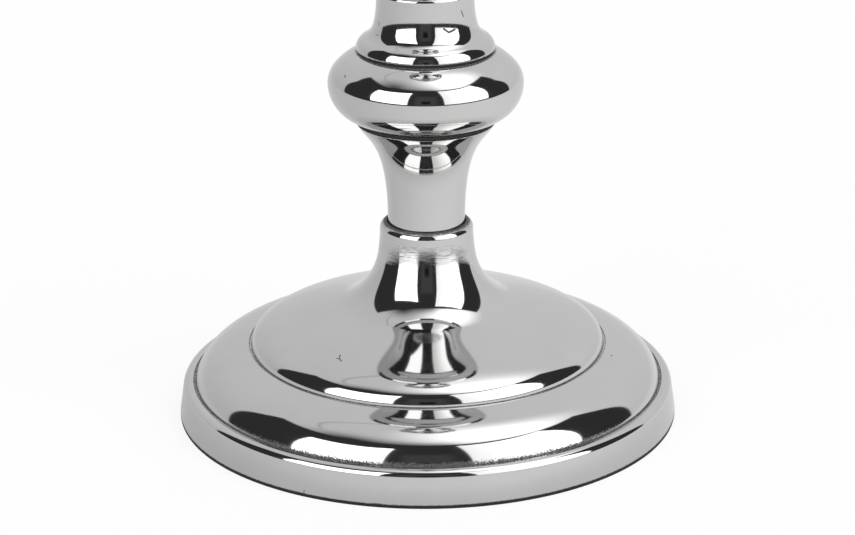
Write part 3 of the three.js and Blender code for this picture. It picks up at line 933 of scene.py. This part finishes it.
@dataclass
class Column:
    """The turned sections between the foot and the candle cup, with the rings between them."""

    rod_bore: float = ROD_BORE
    edge_ease: float = 0.14 * MM
    lower_straight: float = 3.1 * MM
    lower_trumpet: Curve = Curve(90, 59, (0.75, 0.21))
    knop: KnopShape = KnopShape(8.7 * MM, 8.6 * MM, 6.1 * MM, 16.1 * MM)
    upper_knop: KnopShape = KnopShape(6.8 * MM, 7.0 * MM, 4.7 * MM, 13.2 * MM)
    skirt_rim_round: float = 3.45 * MM
    skirt_rim_start_deg: float = 6.0
    skirt_rim_end_deg: float = 62.0
    skirt_bell_round: float = 4.75 * MM
    skirt_bell_end_deg: float = 14.0
    skirt_waist_round: float = 23.7 * MM
    skirt_lip_wall: float = 1.9 * MM
    skirt_lip_flare: Curve = Curve(90, 80, (0.35, 0.35))
    lip_edge: float = 0.8 * MM
    socket_depth: float = 3.0 * MM
    socket_clearance: float = 0.25 * MM
    upper_straight: float = 4.5 * MM
    upper_waist_radius: float = 7.6 * MM
    upper_waist_drop: float = 21.0 * MM
    upper_taper: Curve = Curve(93, 90, (0.3, 0.3))
    upper_trumpet: Curve = Curve(90, 50, (0.42, 0.32))
    ring_ease: float = 0.12 * MM

    def lower_stem(self) -> Piece:
        """Turns the short cylinder that opens into a trumpet.

        Returns:
            The stem.
        """
        low, top, flare = floor_of("lower_stem"), top_of("lower_stem"), reach_of("lower_stem")
        radius = underside_radius("lower_stem")
        outline = Outline(self.rod_bore, low)
        outline.line(radius, low).ease(self.edge_ease)
        outline.line(radius, low + self.lower_straight)
        outline.sweep(flare, top, self.lower_trumpet).ease(self.edge_ease)
        outline.line(self.rod_bore, top)
        return turned("lower_stem_turning", outline.close(), SECTION_SIDES)

    def swelling(self, name: str, node: str, shape: KnopShape) -> Piece:
        """Turns a round swelling: a cone, a full lower round, a tighter upper round and a slope.

        Args:
            name: The piece's name.
            node: The node that it stands for.
            shape: Its rounds.

        Returns:
            The swelling.
        """
        low, top, radius = floor_of(node), top_of(node), reach_of(node)
        belly = low + shape.belly_height
        outline = Outline(self.rod_bore, low)
        outline.line(underside_radius(node), low).ease(self.edge_ease)
        outline.arc(radius - shape.lower_round, belly, shape.lower_round, shape.lower_deg, 0)
        outline.arc(radius - shape.upper_round, belly, shape.upper_round, 0, shape.upper_deg)
        outline.sweep(shape.top_radius, top, shape.slope).ease(self.edge_ease)
        outline.line(self.rod_bore, top)
        return turned(name, outline.close(), SECTION_SIDES)

    def skirt(self) -> Piece:
        """Turns the bell: a rounded rim, a waist and an upper lip.

        Returns:
            The bell.
        """
        low, top, radius = floor_of("skirt"), top_of("skirt"), reach_of("skirt")
        socket = underside_radius("upper_stem") + self.socket_clearance
        lip_radius = socket + self.skirt_lip_wall
        edge_z = top - self.lip_edge
        outline = Outline(self.rod_bore, low)
        rim = Vector((radius, low)) - heading(self.skirt_rim_start_deg) * self.skirt_rim_round
        outline.arc(*rim, self.skirt_rim_round, self.skirt_rim_start_deg, self.skirt_rim_end_deg)
        outline.hollow(self.skirt_bell_round, self.skirt_rim_end_deg, self.skirt_bell_end_deg)
        outline.hollow(self.skirt_waist_round, self.skirt_bell_end_deg, 0)
        outline.sweep(lip_radius, edge_z, self.skirt_lip_flare)
        outline.arc(lip_radius - self.lip_edge, edge_z, self.lip_edge, 0, 90)
        outline.line(socket, top).ease(self.edge_ease)
        outline.line(socket, top - self.socket_depth)
        outline.line(self.rod_bore, top - self.socket_depth)
        return turned("skirt_turning", outline.close(), SECTION_SIDES)

    def upper_stem(self) -> Piece:
        """Turns the slim column that opens into a trumpet.

        Returns:
            The stem.
        """
        low, top, flare = floor_of("upper_stem"), top_of("upper_stem"), reach_of("upper_stem")
        radius = underside_radius("upper_stem")
        outline = Outline(self.rod_bore, low)
        outline.line(radius, low).ease(self.edge_ease)
        outline.line(radius, low + self.upper_straight)
        outline.sweep(self.upper_waist_radius, top - self.upper_waist_drop, self.upper_taper)
        outline.sweep(flare, top, self.upper_trumpet).ease(self.edge_ease)
        outline.line(self.rod_bore, top)
        return turned("upper_stem_turning", outline.close(), SECTION_SIDES)

    def build(self, finishes: Finishes) -> None:
        """Makes and dresses the column's pieces."""
        sections = {
            "lower_stem": self.lower_stem(),
            "knop": self.swelling("knop_turning", "knop", self.knop),
            "skirt": self.skirt(),
            "upper_stem": self.upper_stem(),
            "upper_knop": self.swelling("upper_knop_turning", "upper_knop", self.upper_knop),
        }
        for node, piece in sections.items():
            fit(piece, node, Body.HOLDER, Slot.POLISHED, finishes.column)
        for node in ("stem_seat_ring", "knop_seat_ring", "upper_stem_seat_ring", "upper_knop_seat_ring"):
            ring = flat_ring(node + "_fibre", node, self.rod_bore, self.ring_ease, SECTION_SIDES)
            fit(ring, node, Body.HOLDER, Slot.FIBRE, finishes.fibre)


@dataclass
class CandleCup:
    """The tulip-shaped cup that the nozzle stands in."""

    rod_bore: float = ROD_BORE
    foot_round: float = 2.1 * MM
    foot_end_deg: float = 50.0
    waist_radius: float = 9.4 * MM
    waist_height: float = 7.4 * MM
    floor_height: float = 17.0 * MM
    bulge: float = 0.8 * MM
    bulge_height: float = 23.0 * MM
    wall: float = 3.3 * MM
    throat_drop: float = 7.0 * MM
    lip_width: float = 5.5 * MM
    lip_edge: float = 0.8 * MM
    edge_ease: float = 0.2 * MM
    foot_curve: Curve = Curve(140, 90, (0.35, 0.35))
    belly_curve: Curve = Curve(80, 90, (0.3, 0.62))
    throat_curve: Curve = Curve(90, 88, (0.4, 0.4))
    lip_flare: Curve = Curve(88, 60, (0.45, 0.3))

    def cup(self) -> Piece:
        """Turns the cup, bored for the nozzle's sleeve.

        Returns:
            The cup.
        """
        low, top, lip = floor_of("candle_cup"), top_of("candle_cup"), reach_of("candle_cup")
        bore = lip - self.lip_width
        throat = bore + self.wall
        edge_z = top - self.lip_edge
        foot_radius = underside_radius("candle_cup")
        outline = Outline(self.rod_bore, low)
        outline.arc(foot_radius - self.foot_round, low, self.foot_round, 0, self.foot_end_deg)
        outline.sweep(self.waist_radius, low + self.waist_height, self.foot_curve)
        outline.sweep(throat + self.bulge, low + self.bulge_height, self.belly_curve)
        outline.sweep(throat, top - self.throat_drop, self.throat_curve)
        outline.sweep(lip, edge_z, self.lip_flare)
        outline.arc(lip - self.lip_edge, edge_z, self.lip_edge, 0, 90)
        outline.line(bore, top).ease(self.edge_ease)
        outline.line(bore, low + self.floor_height).ease(self.edge_ease)
        outline.line(self.rod_bore, low + self.floor_height)
        return turned("candle_cup_turning", outline.close(), SECTION_SIDES)

    def build(self, finishes: Finishes) -> None:
        """Makes and dresses the cup."""
        fit(self.cup(), "candle_cup", Body.HOLDER, Slot.POLISHED, finishes.column)


@dataclass
class Clamp:
    """The tie rod that holds the sections together, with its nuts and washers."""

    thread_pitch: float = 1.25 * MM
    thread_depth: float = 0.65 * MM
    thread_length: float = 16.0 * MM
    thread_steps: int = 10
    rod_chamfer: float = 0.7 * MM
    nut_bore: float = 4.3 * MM
    nut_countersink: float = 0.5 * MM
    nut_chamfer_deg: float = 30.0
    nut_flat_share: float = 0.95
    washer_bore: float = 4.4 * MM
    washer_ease: float = 0.25 * MM
    slit: float = 1.2 * MM

    def thread_radius(self, crest: float, z: float, low: float, top: float, angle: float) -> float:
        """Radius of the rod at a height and an angle.

        Args:
            crest: Radius of the plain rod and of the thread's crests.
            z: The height.
            low: The rod's lower end.
            top: The rod's upper end.
            angle: The angle round the rod.

        Returns:
            The radius, cut back in the thread's grooves and at the ends' chamfers.
        """
        from_end = min(z - low, top - z)
        turn = (z / self.thread_pitch - angle / (2 * math.pi)) % 1.0
        groove = 0.5 - 0.5 * math.cos(2 * math.pi * turn)
        run_out = min(1.0, max(0.0, (self.thread_length - from_end) / self.thread_pitch))
        radius = crest - self.thread_depth * groove * run_out
        return min(radius, crest - self.rod_chamfer + from_end)

    def rod(self) -> Piece:
        """Cuts the rod, with a thread on both ends.

        Returns:
            The rod.
        """
        low, top, crest = floor_of("tie_rod"), top_of("tie_rod"), reach_of("tie_rod")
        step = self.thread_pitch / self.thread_steps
        count = round(self.thread_length / step)
        heights = [low + i * step for i in range(count + 1)]
        heights += [top - i * step for i in range(count, -1, -1)]

        def section(angle: float) -> list[Vector]:
            """The rod's outline at an angle."""
            side = [Vector((self.thread_radius(crest, z, low, top, angle), z)) for z in heights]
            return [Vector((0, low)), *side, Vector((0, top))]

        return spun("tie_rod_threaded", section, ROD_SIDES)

    def nut(self, node: str) -> Piece:
        """Cuts a hexagon nut with chamfered corners.

        Args:
            node: The nut's node.

        Returns:
            The nut.
        """
        low, top = floor_of(node), top_of(node)
        half_side = HEXAGON_DEG / 2
        half_flats = reach_of(node) * math.cos(half_side * DEGREE)
        flat = half_flats * self.nut_flat_share
        slope = math.tan(self.nut_chamfer_deg * DEGREE)
        mouth = self.nut_bore + self.nut_countersink

        def section(angle: float) -> list[Vector]:
            """The nut's outline at an angle: six flats, with the corners cut back at both ends."""
            from_flat = (angle / DEGREE) % HEXAGON_DEG - half_side
            corner = half_flats / math.cos(from_flat * DEGREE)
            drop = (corner - flat) * slope
            points = [
                (self.nut_bore, low + self.nut_countersink), (mouth, low), (flat, low), (corner, low + drop),
                (corner, top - drop), (flat, top), (mouth, top), (self.nut_bore, top - self.nut_countersink),
                (self.nut_bore, low + self.nut_countersink),
            ]
            return [Vector(p) for p in points]

        return spun(node + "_hexagon", section, SMALL_SIDES)

    def washer(self, node: str) -> Piece:
        """Punches a flat washer."""
        return flat_ring(node + "_plate", node, self.washer_bore, self.washer_ease, SMALL_SIDES)

    def lock_washer(self) -> Piece:
        """Coils the spring washer: a ring of square wire with a slit.

        Returns:
            The washer.
        """
        low, top = floor_of("foot_lock_washer"), top_of("foot_lock_washer")
        inner = self.nut_bore
        outer = max(v.co.xy.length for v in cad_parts["foot_lock_washer"].data.vertices)
        bevel = self.washer_ease
        wire = [
            (inner, low + bevel), (inner + bevel, low), (outer - bevel, low), (outer, low + bevel),
            (outer, top - bevel), (outer - bevel, top), (inner + bevel, top), (inner, top - bevel),
        ]
        corners: list[Vector] = []
        for i in range(SMALL_SIDES + 1):
            for r, z in wire:
                open_angle = math.asin(self.slit / 2 / r)
                angle = open_angle + (2 * math.pi - 2 * open_angle) * i / SMALL_SIDES
                corners.append(Vector((r * math.cos(angle), r * math.sin(angle), z)))
        count = len(wire)
        faces: list[list[int]] = [list(range(count))]
        faces.append([count * SMALL_SIDES + k for k in reversed(range(count))])
        for i in range(SMALL_SIDES):
            for k in range(count):
                a, b = count * i + k, count * i + (k + 1) % count
                faces.append([a, a + count, b + count, b])
        return mesh_object("foot_lock_washer_coil", corners, faces)

    def build(self, finishes: Finishes) -> None:
        """Makes and dresses the clamp's pieces."""
        pieces = {
            "tie_rod": self.rod(),
            "foot_nut": self.nut("foot_nut"),
            "foot_lock_washer": self.lock_washer(),
            "foot_washer": self.washer("foot_washer"),
            "cup_washer": self.washer("cup_washer"),
            "cup_nut": self.nut("cup_nut"),
        }
        for node, piece in pieces.items():
            fit(piece, node, Body.HOLDER, Slot.STEEL, finishes.steel)


@dataclass
class Nozzle:
    """The lift-out nozzle: a drawn sleeve fixed in a spun drip pan."""

    bore: float = 11.1 * MM
    wall: float = 0.85 * MM
    flange: float = 1.7 * MM
    flange_curve: Curve = Curve(180, 90, (0.4, 0.4))
    pan_thickness: float = 1.4 * MM
    pan_side: float = 7.0 * MM
    pan_rise: float = 4.2 * MM
    pan_clearance: float = 0.25 * MM
    pan_underside: Curve = Curve(0, 78, (0.45, 0.3))
    pan_inside: Curve = Curve(258, 180, (0.3, 0.45))
    edge_ease: float = 0.25 * MM

    def pan(self) -> Piece:
        """Spins the pan: a flat that rests on the cup, a rising side and a rounded rim.

        Returns:
            The pan.
        """
        low, radius = floor_of("drip_pan"), reach_of("drip_pan")
        hole = self.bore + self.wall + self.pan_clearance
        flat = radius - self.pan_side
        rim = self.pan_thickness / 2
        rim_z = low + self.pan_rise
        outline = Outline(hole, low)
        outline.line(flat, low)
        outline.sweep(radius, rim_z, self.pan_underside)
        outline.arc(radius - rim, rim_z, rim, 0, 180)
        outline.sweep(flat, low + self.pan_thickness, self.pan_inside)
        outline.line(hole, low + self.pan_thickness)
        return turned("drip_pan_spinning", outline.close(), SECTION_SIDES)

    def sleeve(self) -> Piece:
        """Draws the sleeve that grips the candle; its flange rests on the pan.

        Returns:
            The sleeve.
        """
        low, top = floor_of("nozzle_sleeve"), top_of("nozzle_sleeve")
        radius = self.bore + self.wall
        seat = floor_of("drip_pan") + self.pan_thickness
        outline = Outline(self.bore, low)
        outline.line(radius, low).ease(self.edge_ease)
        outline.line(radius, seat)
        outline.line(radius + self.flange, seat)
        outline.sweep(radius, seat + self.flange, self.flange_curve)
        outline.line(radius, top).ease(self.edge_ease)
        outline.line(self.bore, top).ease(self.edge_ease)
        return turned("nozzle_sleeve_tube", outline.close(), SECTION_SIDES)

    def build(self, finishes: Finishes) -> None:
        """Makes and dresses the nozzle's pieces."""
        fit(self.pan(), "drip_pan", Body.NOZZLE, Slot.POLISHED, finishes.column)
        fit(self.sleeve(), "nozzle_sleeve", Body.NOZZLE, Slot.POLISHED, finishes.column)


@dataclass(frozen=True)
class Panel:
    """A lit or black panel of the studio, as directions seen from the candlestick.

    Azimuth 0 is towards the viewer and grows to the viewer's right; elevation grows upwards. The sides may
    lean with the elevation, the top may tilt and sag with the azimuth, and the light may change from the left
    side to the right.
    """

    left_deg: float
    right_deg: float
    low_deg: float
    high_deg: float
    strength: float
    soft_deg: float = 0.8
    left_lean: float = 0.0
    right_lean: float = 0.0
    tilt: float = 0.0
    sag: float = 0.0
    far_strength: float | None = None


@dataclass(frozen=True)
class Lamp:
    """The soft lamp high on the right: its direction, and how far its light spreads."""

    azimuth_deg: float = 90.0
    elevation_deg: float = 72.0
    core_deg: float = 2.0
    reach_deg: float = 32.0
    strength: float = 1.6

    def direction(self) -> tuple[float, float, float]:
        """Where the lamp hangs, as a direction in the frame."""
        level = math.cos(self.elevation_deg * DEGREE)
        azimuth = self.azimuth_deg * DEGREE
        return (level * math.sin(azimuth), -level * math.cos(azimuth), math.sin(self.elevation_deg * DEGREE))


@dataclass(frozen=True)
class Sight:
    """A direction out of the studio, with its azimuth and elevation in degrees."""

    direction: Socket
    azimuth: Socket
    elevation: Socket


@dataclass
class Studio:
    """The photographer's table: pale floor and walls, black screens, two windows between them and a lamp."""

    focal_px: float = 2750.0
    camera_distance: float = 617.9 * MM
    camera_height: float = 262.8 * MM
    camera_pitch_deg: float = 20.2
    camera_roll_deg: float = 0.34
    camera_side_px: float = 0.7
    camera_near: float = 10.0 * MM
    sensor: float = 36.0
    floor_radius: float = 4.0
    floor_colour: Colour = (0.9, 0.9, 0.9, 1.0)
    floor_share: float = 0.85
    floor_glow: float = 0.85
    # Painted light on the floor as the metal sees it: brighter to one side, and a painted shadow near the
    # foot
    floor_painted_slope: tuple[float, float, float] = (0.12, -0.09, 0.0)
    floor_painted_shade_span: Span = (54.0 * MM, 100.0 * MM)
    floor_painted_shade_share: float = 0.76
    walls_foot: float = 0.76
    walls: float = 0.84
    walls_rise: Span = (0.0, 40.0)
    walls_slope: float = 0.09
    shade_left: Span = (-115.0, -60.0)
    shade_right: Span = (40.0, 10.0)
    shade_top: Span = (80.0, 60.0)
    lamp: Lamp = Lamp()
    panels: tuple[Panel, ...] = (
        Panel(-168, -100, 61.3, 62.5, 0.58),
        Panel(-108.5, 113, -90, 66, 0.04, 2.0, left_lean=-0.18, right_lean=0.1, sag=0.0011),
        Panel(-66, -21.5, 4, 57.5, 3.0, left_lean=-0.14, tilt=0.167),
        Panel(21.5, 76, 3, 63.5, 1.6, right_lean=0.17, tilt=-0.08, far_strength=3.0),
        Panel(-13, 13, -4, 40, 0.075, 8.0),
        Panel(-5, 5, 8, 20, 0.015, 3.0),
    )

    def camera(self) -> None:
        """Sets the camera where the photograph was taken from."""
        data = bpy.data.cameras.new("photo_camera")
        data.sensor_width = self.sensor
        data.lens = self.sensor * self.focal_px / PHOTO_WIDTH
        data.shift_x = self.camera_side_px / PHOTO_WIDTH
        data.clip_start = self.camera_near
        made = bpy.data.objects.new("photo_camera", data)
        made.location = (0.0, -self.camera_distance, self.camera_height)
        tilt = Euler(((90 - self.camera_pitch_deg) * DEGREE, 0.0, 0.0)).to_matrix()
        roll = Euler((0.0, 0.0, -self.camera_roll_deg * DEGREE)).to_matrix()
        made.rotation_euler = (tilt @ roll).to_euler()
        bpy.context.scene.collection.objects.link(made)
        bpy.context.scene.camera = made

    def floor(self) -> None:
        """Lays a pale floor that shows white to the viewer and keeps a soft shadow; to the metal it shows
        painted light, brighter to one side, and a painted shadow near the foot.
        """
        angles = [2 * math.pi * i / FLOOR_SIDES for i in range(FLOOR_SIDES)]
        rim = [Vector((math.cos(angle), math.sin(angle), 0.0)) * self.floor_radius for angle in angles]
        made = mesh_object("studio_floor", rim, [list(range(len(rim)))])
        made.data.materials.append(self.floor_material())

    def floor_material(self) -> bpy.types.Material:
        """The floor's paper.

        Returns:
            A matte white that glows for rays from the camera, and for rays from the metal with painted light
            brighter to one side and painted shade near the foot.
        """
        made, graph = new_material("studio_paper")
        path = graph.add("LightPath").outputs
        mirrored = graph.math("MAXIMUM", path["Is Glossy Ray"], path["Is Transmission Ray"])
        seen = graph.math("MAXIMUM", path["Is Camera Ray"], mirrored)
        place = graph.place()
        bearing = graph.vector("NORMALIZE", place).outputs["Vector"]
        # Painted light and shade for the metal: brighter to one side, and darker near the foot as if in its
        # shadow
        slope = graph.vector("DOT_PRODUCT", bearing, self.floor_painted_slope).outputs["Value"]
        away = graph.vector("LENGTH", place).outputs["Value"]
        painted_shade = graph.blend(graph.step(away, *self.floor_painted_shade_span), self.floor_painted_shade_share, 1.0)
        painted_glow = graph.math("MULTIPLY", graph.math("ADD", slope, self.floor_glow), painted_shade)
        paper = graph.add("BsdfDiffuse", {"Color": self.floor_colour})
        glow = graph.add("Emission", {"Color": WHITE, "Strength": graph.blend(mirrored, 1.0, painted_glow)})
        share = graph.math("MULTIPLY", seen, self.floor_share)
        mixed = graph.add("MixShader", {0: share, 1: paper.outputs[0], 2: glow.outputs[0]})
        graph.add("OutputMaterial", {"Surface": mixed.outputs[0]})
        return made

    def panel_mask(self, graph: Graph, sight: Sight, panel: Panel) -> Socket:
        """Where a panel stands.

        Args:
            graph: The world's nodes.
            sight: The direction.
            panel: The panel.

        Returns:
            A socket that is 1 on the panel and 0 off it.
        """
        azimuth, elevation = sight.azimuth, sight.elevation
        soft = panel.soft_deg / 2
        left = graph.math("SUBTRACT", azimuth, graph.math("MULTIPLY", elevation, panel.left_lean))
        right = graph.math("SUBTRACT", azimuth, graph.math("MULTIPLY", elevation, panel.right_lean))
        drop = graph.math("MULTIPLY", azimuth, graph.math("MULTIPLY_ADD", azimuth, panel.sag, -panel.tilt))
        high = graph.math("ADD", elevation, drop)
        inside = graph.step(left, panel.left_deg - soft, panel.left_deg + soft)
        for edge in (
            graph.step(right, panel.right_deg + soft, panel.right_deg - soft),
            graph.step(elevation, panel.low_deg - soft, panel.low_deg + soft),
            graph.step(high, panel.high_deg + soft, panel.high_deg - soft),
        ):
            inside = graph.math("MULTIPLY", inside, edge)
        return inside

    def open_light(self, graph: Graph, sight: Sight) -> Socket:
        """The light of the walls and the lamp, without the panels.

        Args:
            graph: The world's nodes.
            sight: The direction.

        Returns:
            The strength.
        """
        across = graph.add("SeparateXYZ", {"Vector": sight.direction}).outputs["X"]
        height = graph.blend(graph.step(sight.elevation, *self.walls_rise), self.walls_foot, self.walls)
        walls = graph.math("MULTIPLY_ADD", across, self.walls_slope, height)
        shade = graph.step(sight.azimuth, *self.shade_left)
        shade = graph.math("MULTIPLY", shade, graph.step(sight.azimuth, *self.shade_right))
        shade = graph.math("MULTIPLY", shade, graph.step(sight.elevation, *self.shade_top))
        walls = graph.math("MULTIPLY", walls, graph.math("SUBTRACT", 1.0, shade))
        nearness = graph.vector("DOT_PRODUCT", sight.direction, self.lamp.direction()).outputs["Value"]
        away = graph.math("DEGREES", graph.math("ARCCOSINE", nearness))
        glow = graph.step(away, self.lamp.reach_deg, self.lamp.core_deg)
        return graph.math("MULTIPLY_ADD", glow, self.lamp.strength, walls)

    def surroundings(self) -> None:
        """Hangs the walls, the lamp, the black screens and the windows round the candlestick."""
        world = bpy.data.worlds.new("studio")
        world.use_nodes = True
        graph = Graph(world.node_tree)
        direction = graph.add("TexCoord").outputs["Generated"]
        x, y, z = graph.add("SeparateXYZ", {"Vector": direction}).outputs
        azimuth = graph.math("DEGREES", graph.math("ARCTAN2", x, graph.math("MULTIPLY", y, -1.0)))
        elevation = graph.math("DEGREES", graph.math("ARCSINE", z))
        sight = Sight(direction, azimuth, elevation)
        light = self.open_light(graph, sight)
        for panel in self.panels:
            strength: Feed = panel.strength
            if panel.far_strength is not None:
                share = graph.step(azimuth, panel.left_deg, panel.right_deg)
                strength = graph.blend(share, panel.strength, panel.far_strength)
            light = graph.blend(self.panel_mask(graph, sight, panel), light, strength)
        seen = graph.add("LightPath").outputs["Is Camera Ray"]
        shown = graph.add("Background", {"Color": WHITE, "Strength": graph.blend(seen, light, 1.0)})
        graph.add("OutputWorld", {"Surface": shown.outputs[0]})
        bpy.context.scene.world = world

    def build(self) -> None:
        """Sets up the studio."""
        self.camera()
        self.floor()
        self.surroundings()
        bpy.context.scene.view_settings.view_transform = "Standard"


def main() -> None:
    """Builds the candlestick's pieces in order, then the studio."""
    logging.basicConfig(level=logging.INFO, format="%(name)s: %(message)s")
    finishes = Finishes()
    for assembly in (Foot(), Column(), CandleCup(), Clamp(), Nozzle()):
        assembly.build(finishes)
    Studio().build()


if __name__ == "__main__":
    main()
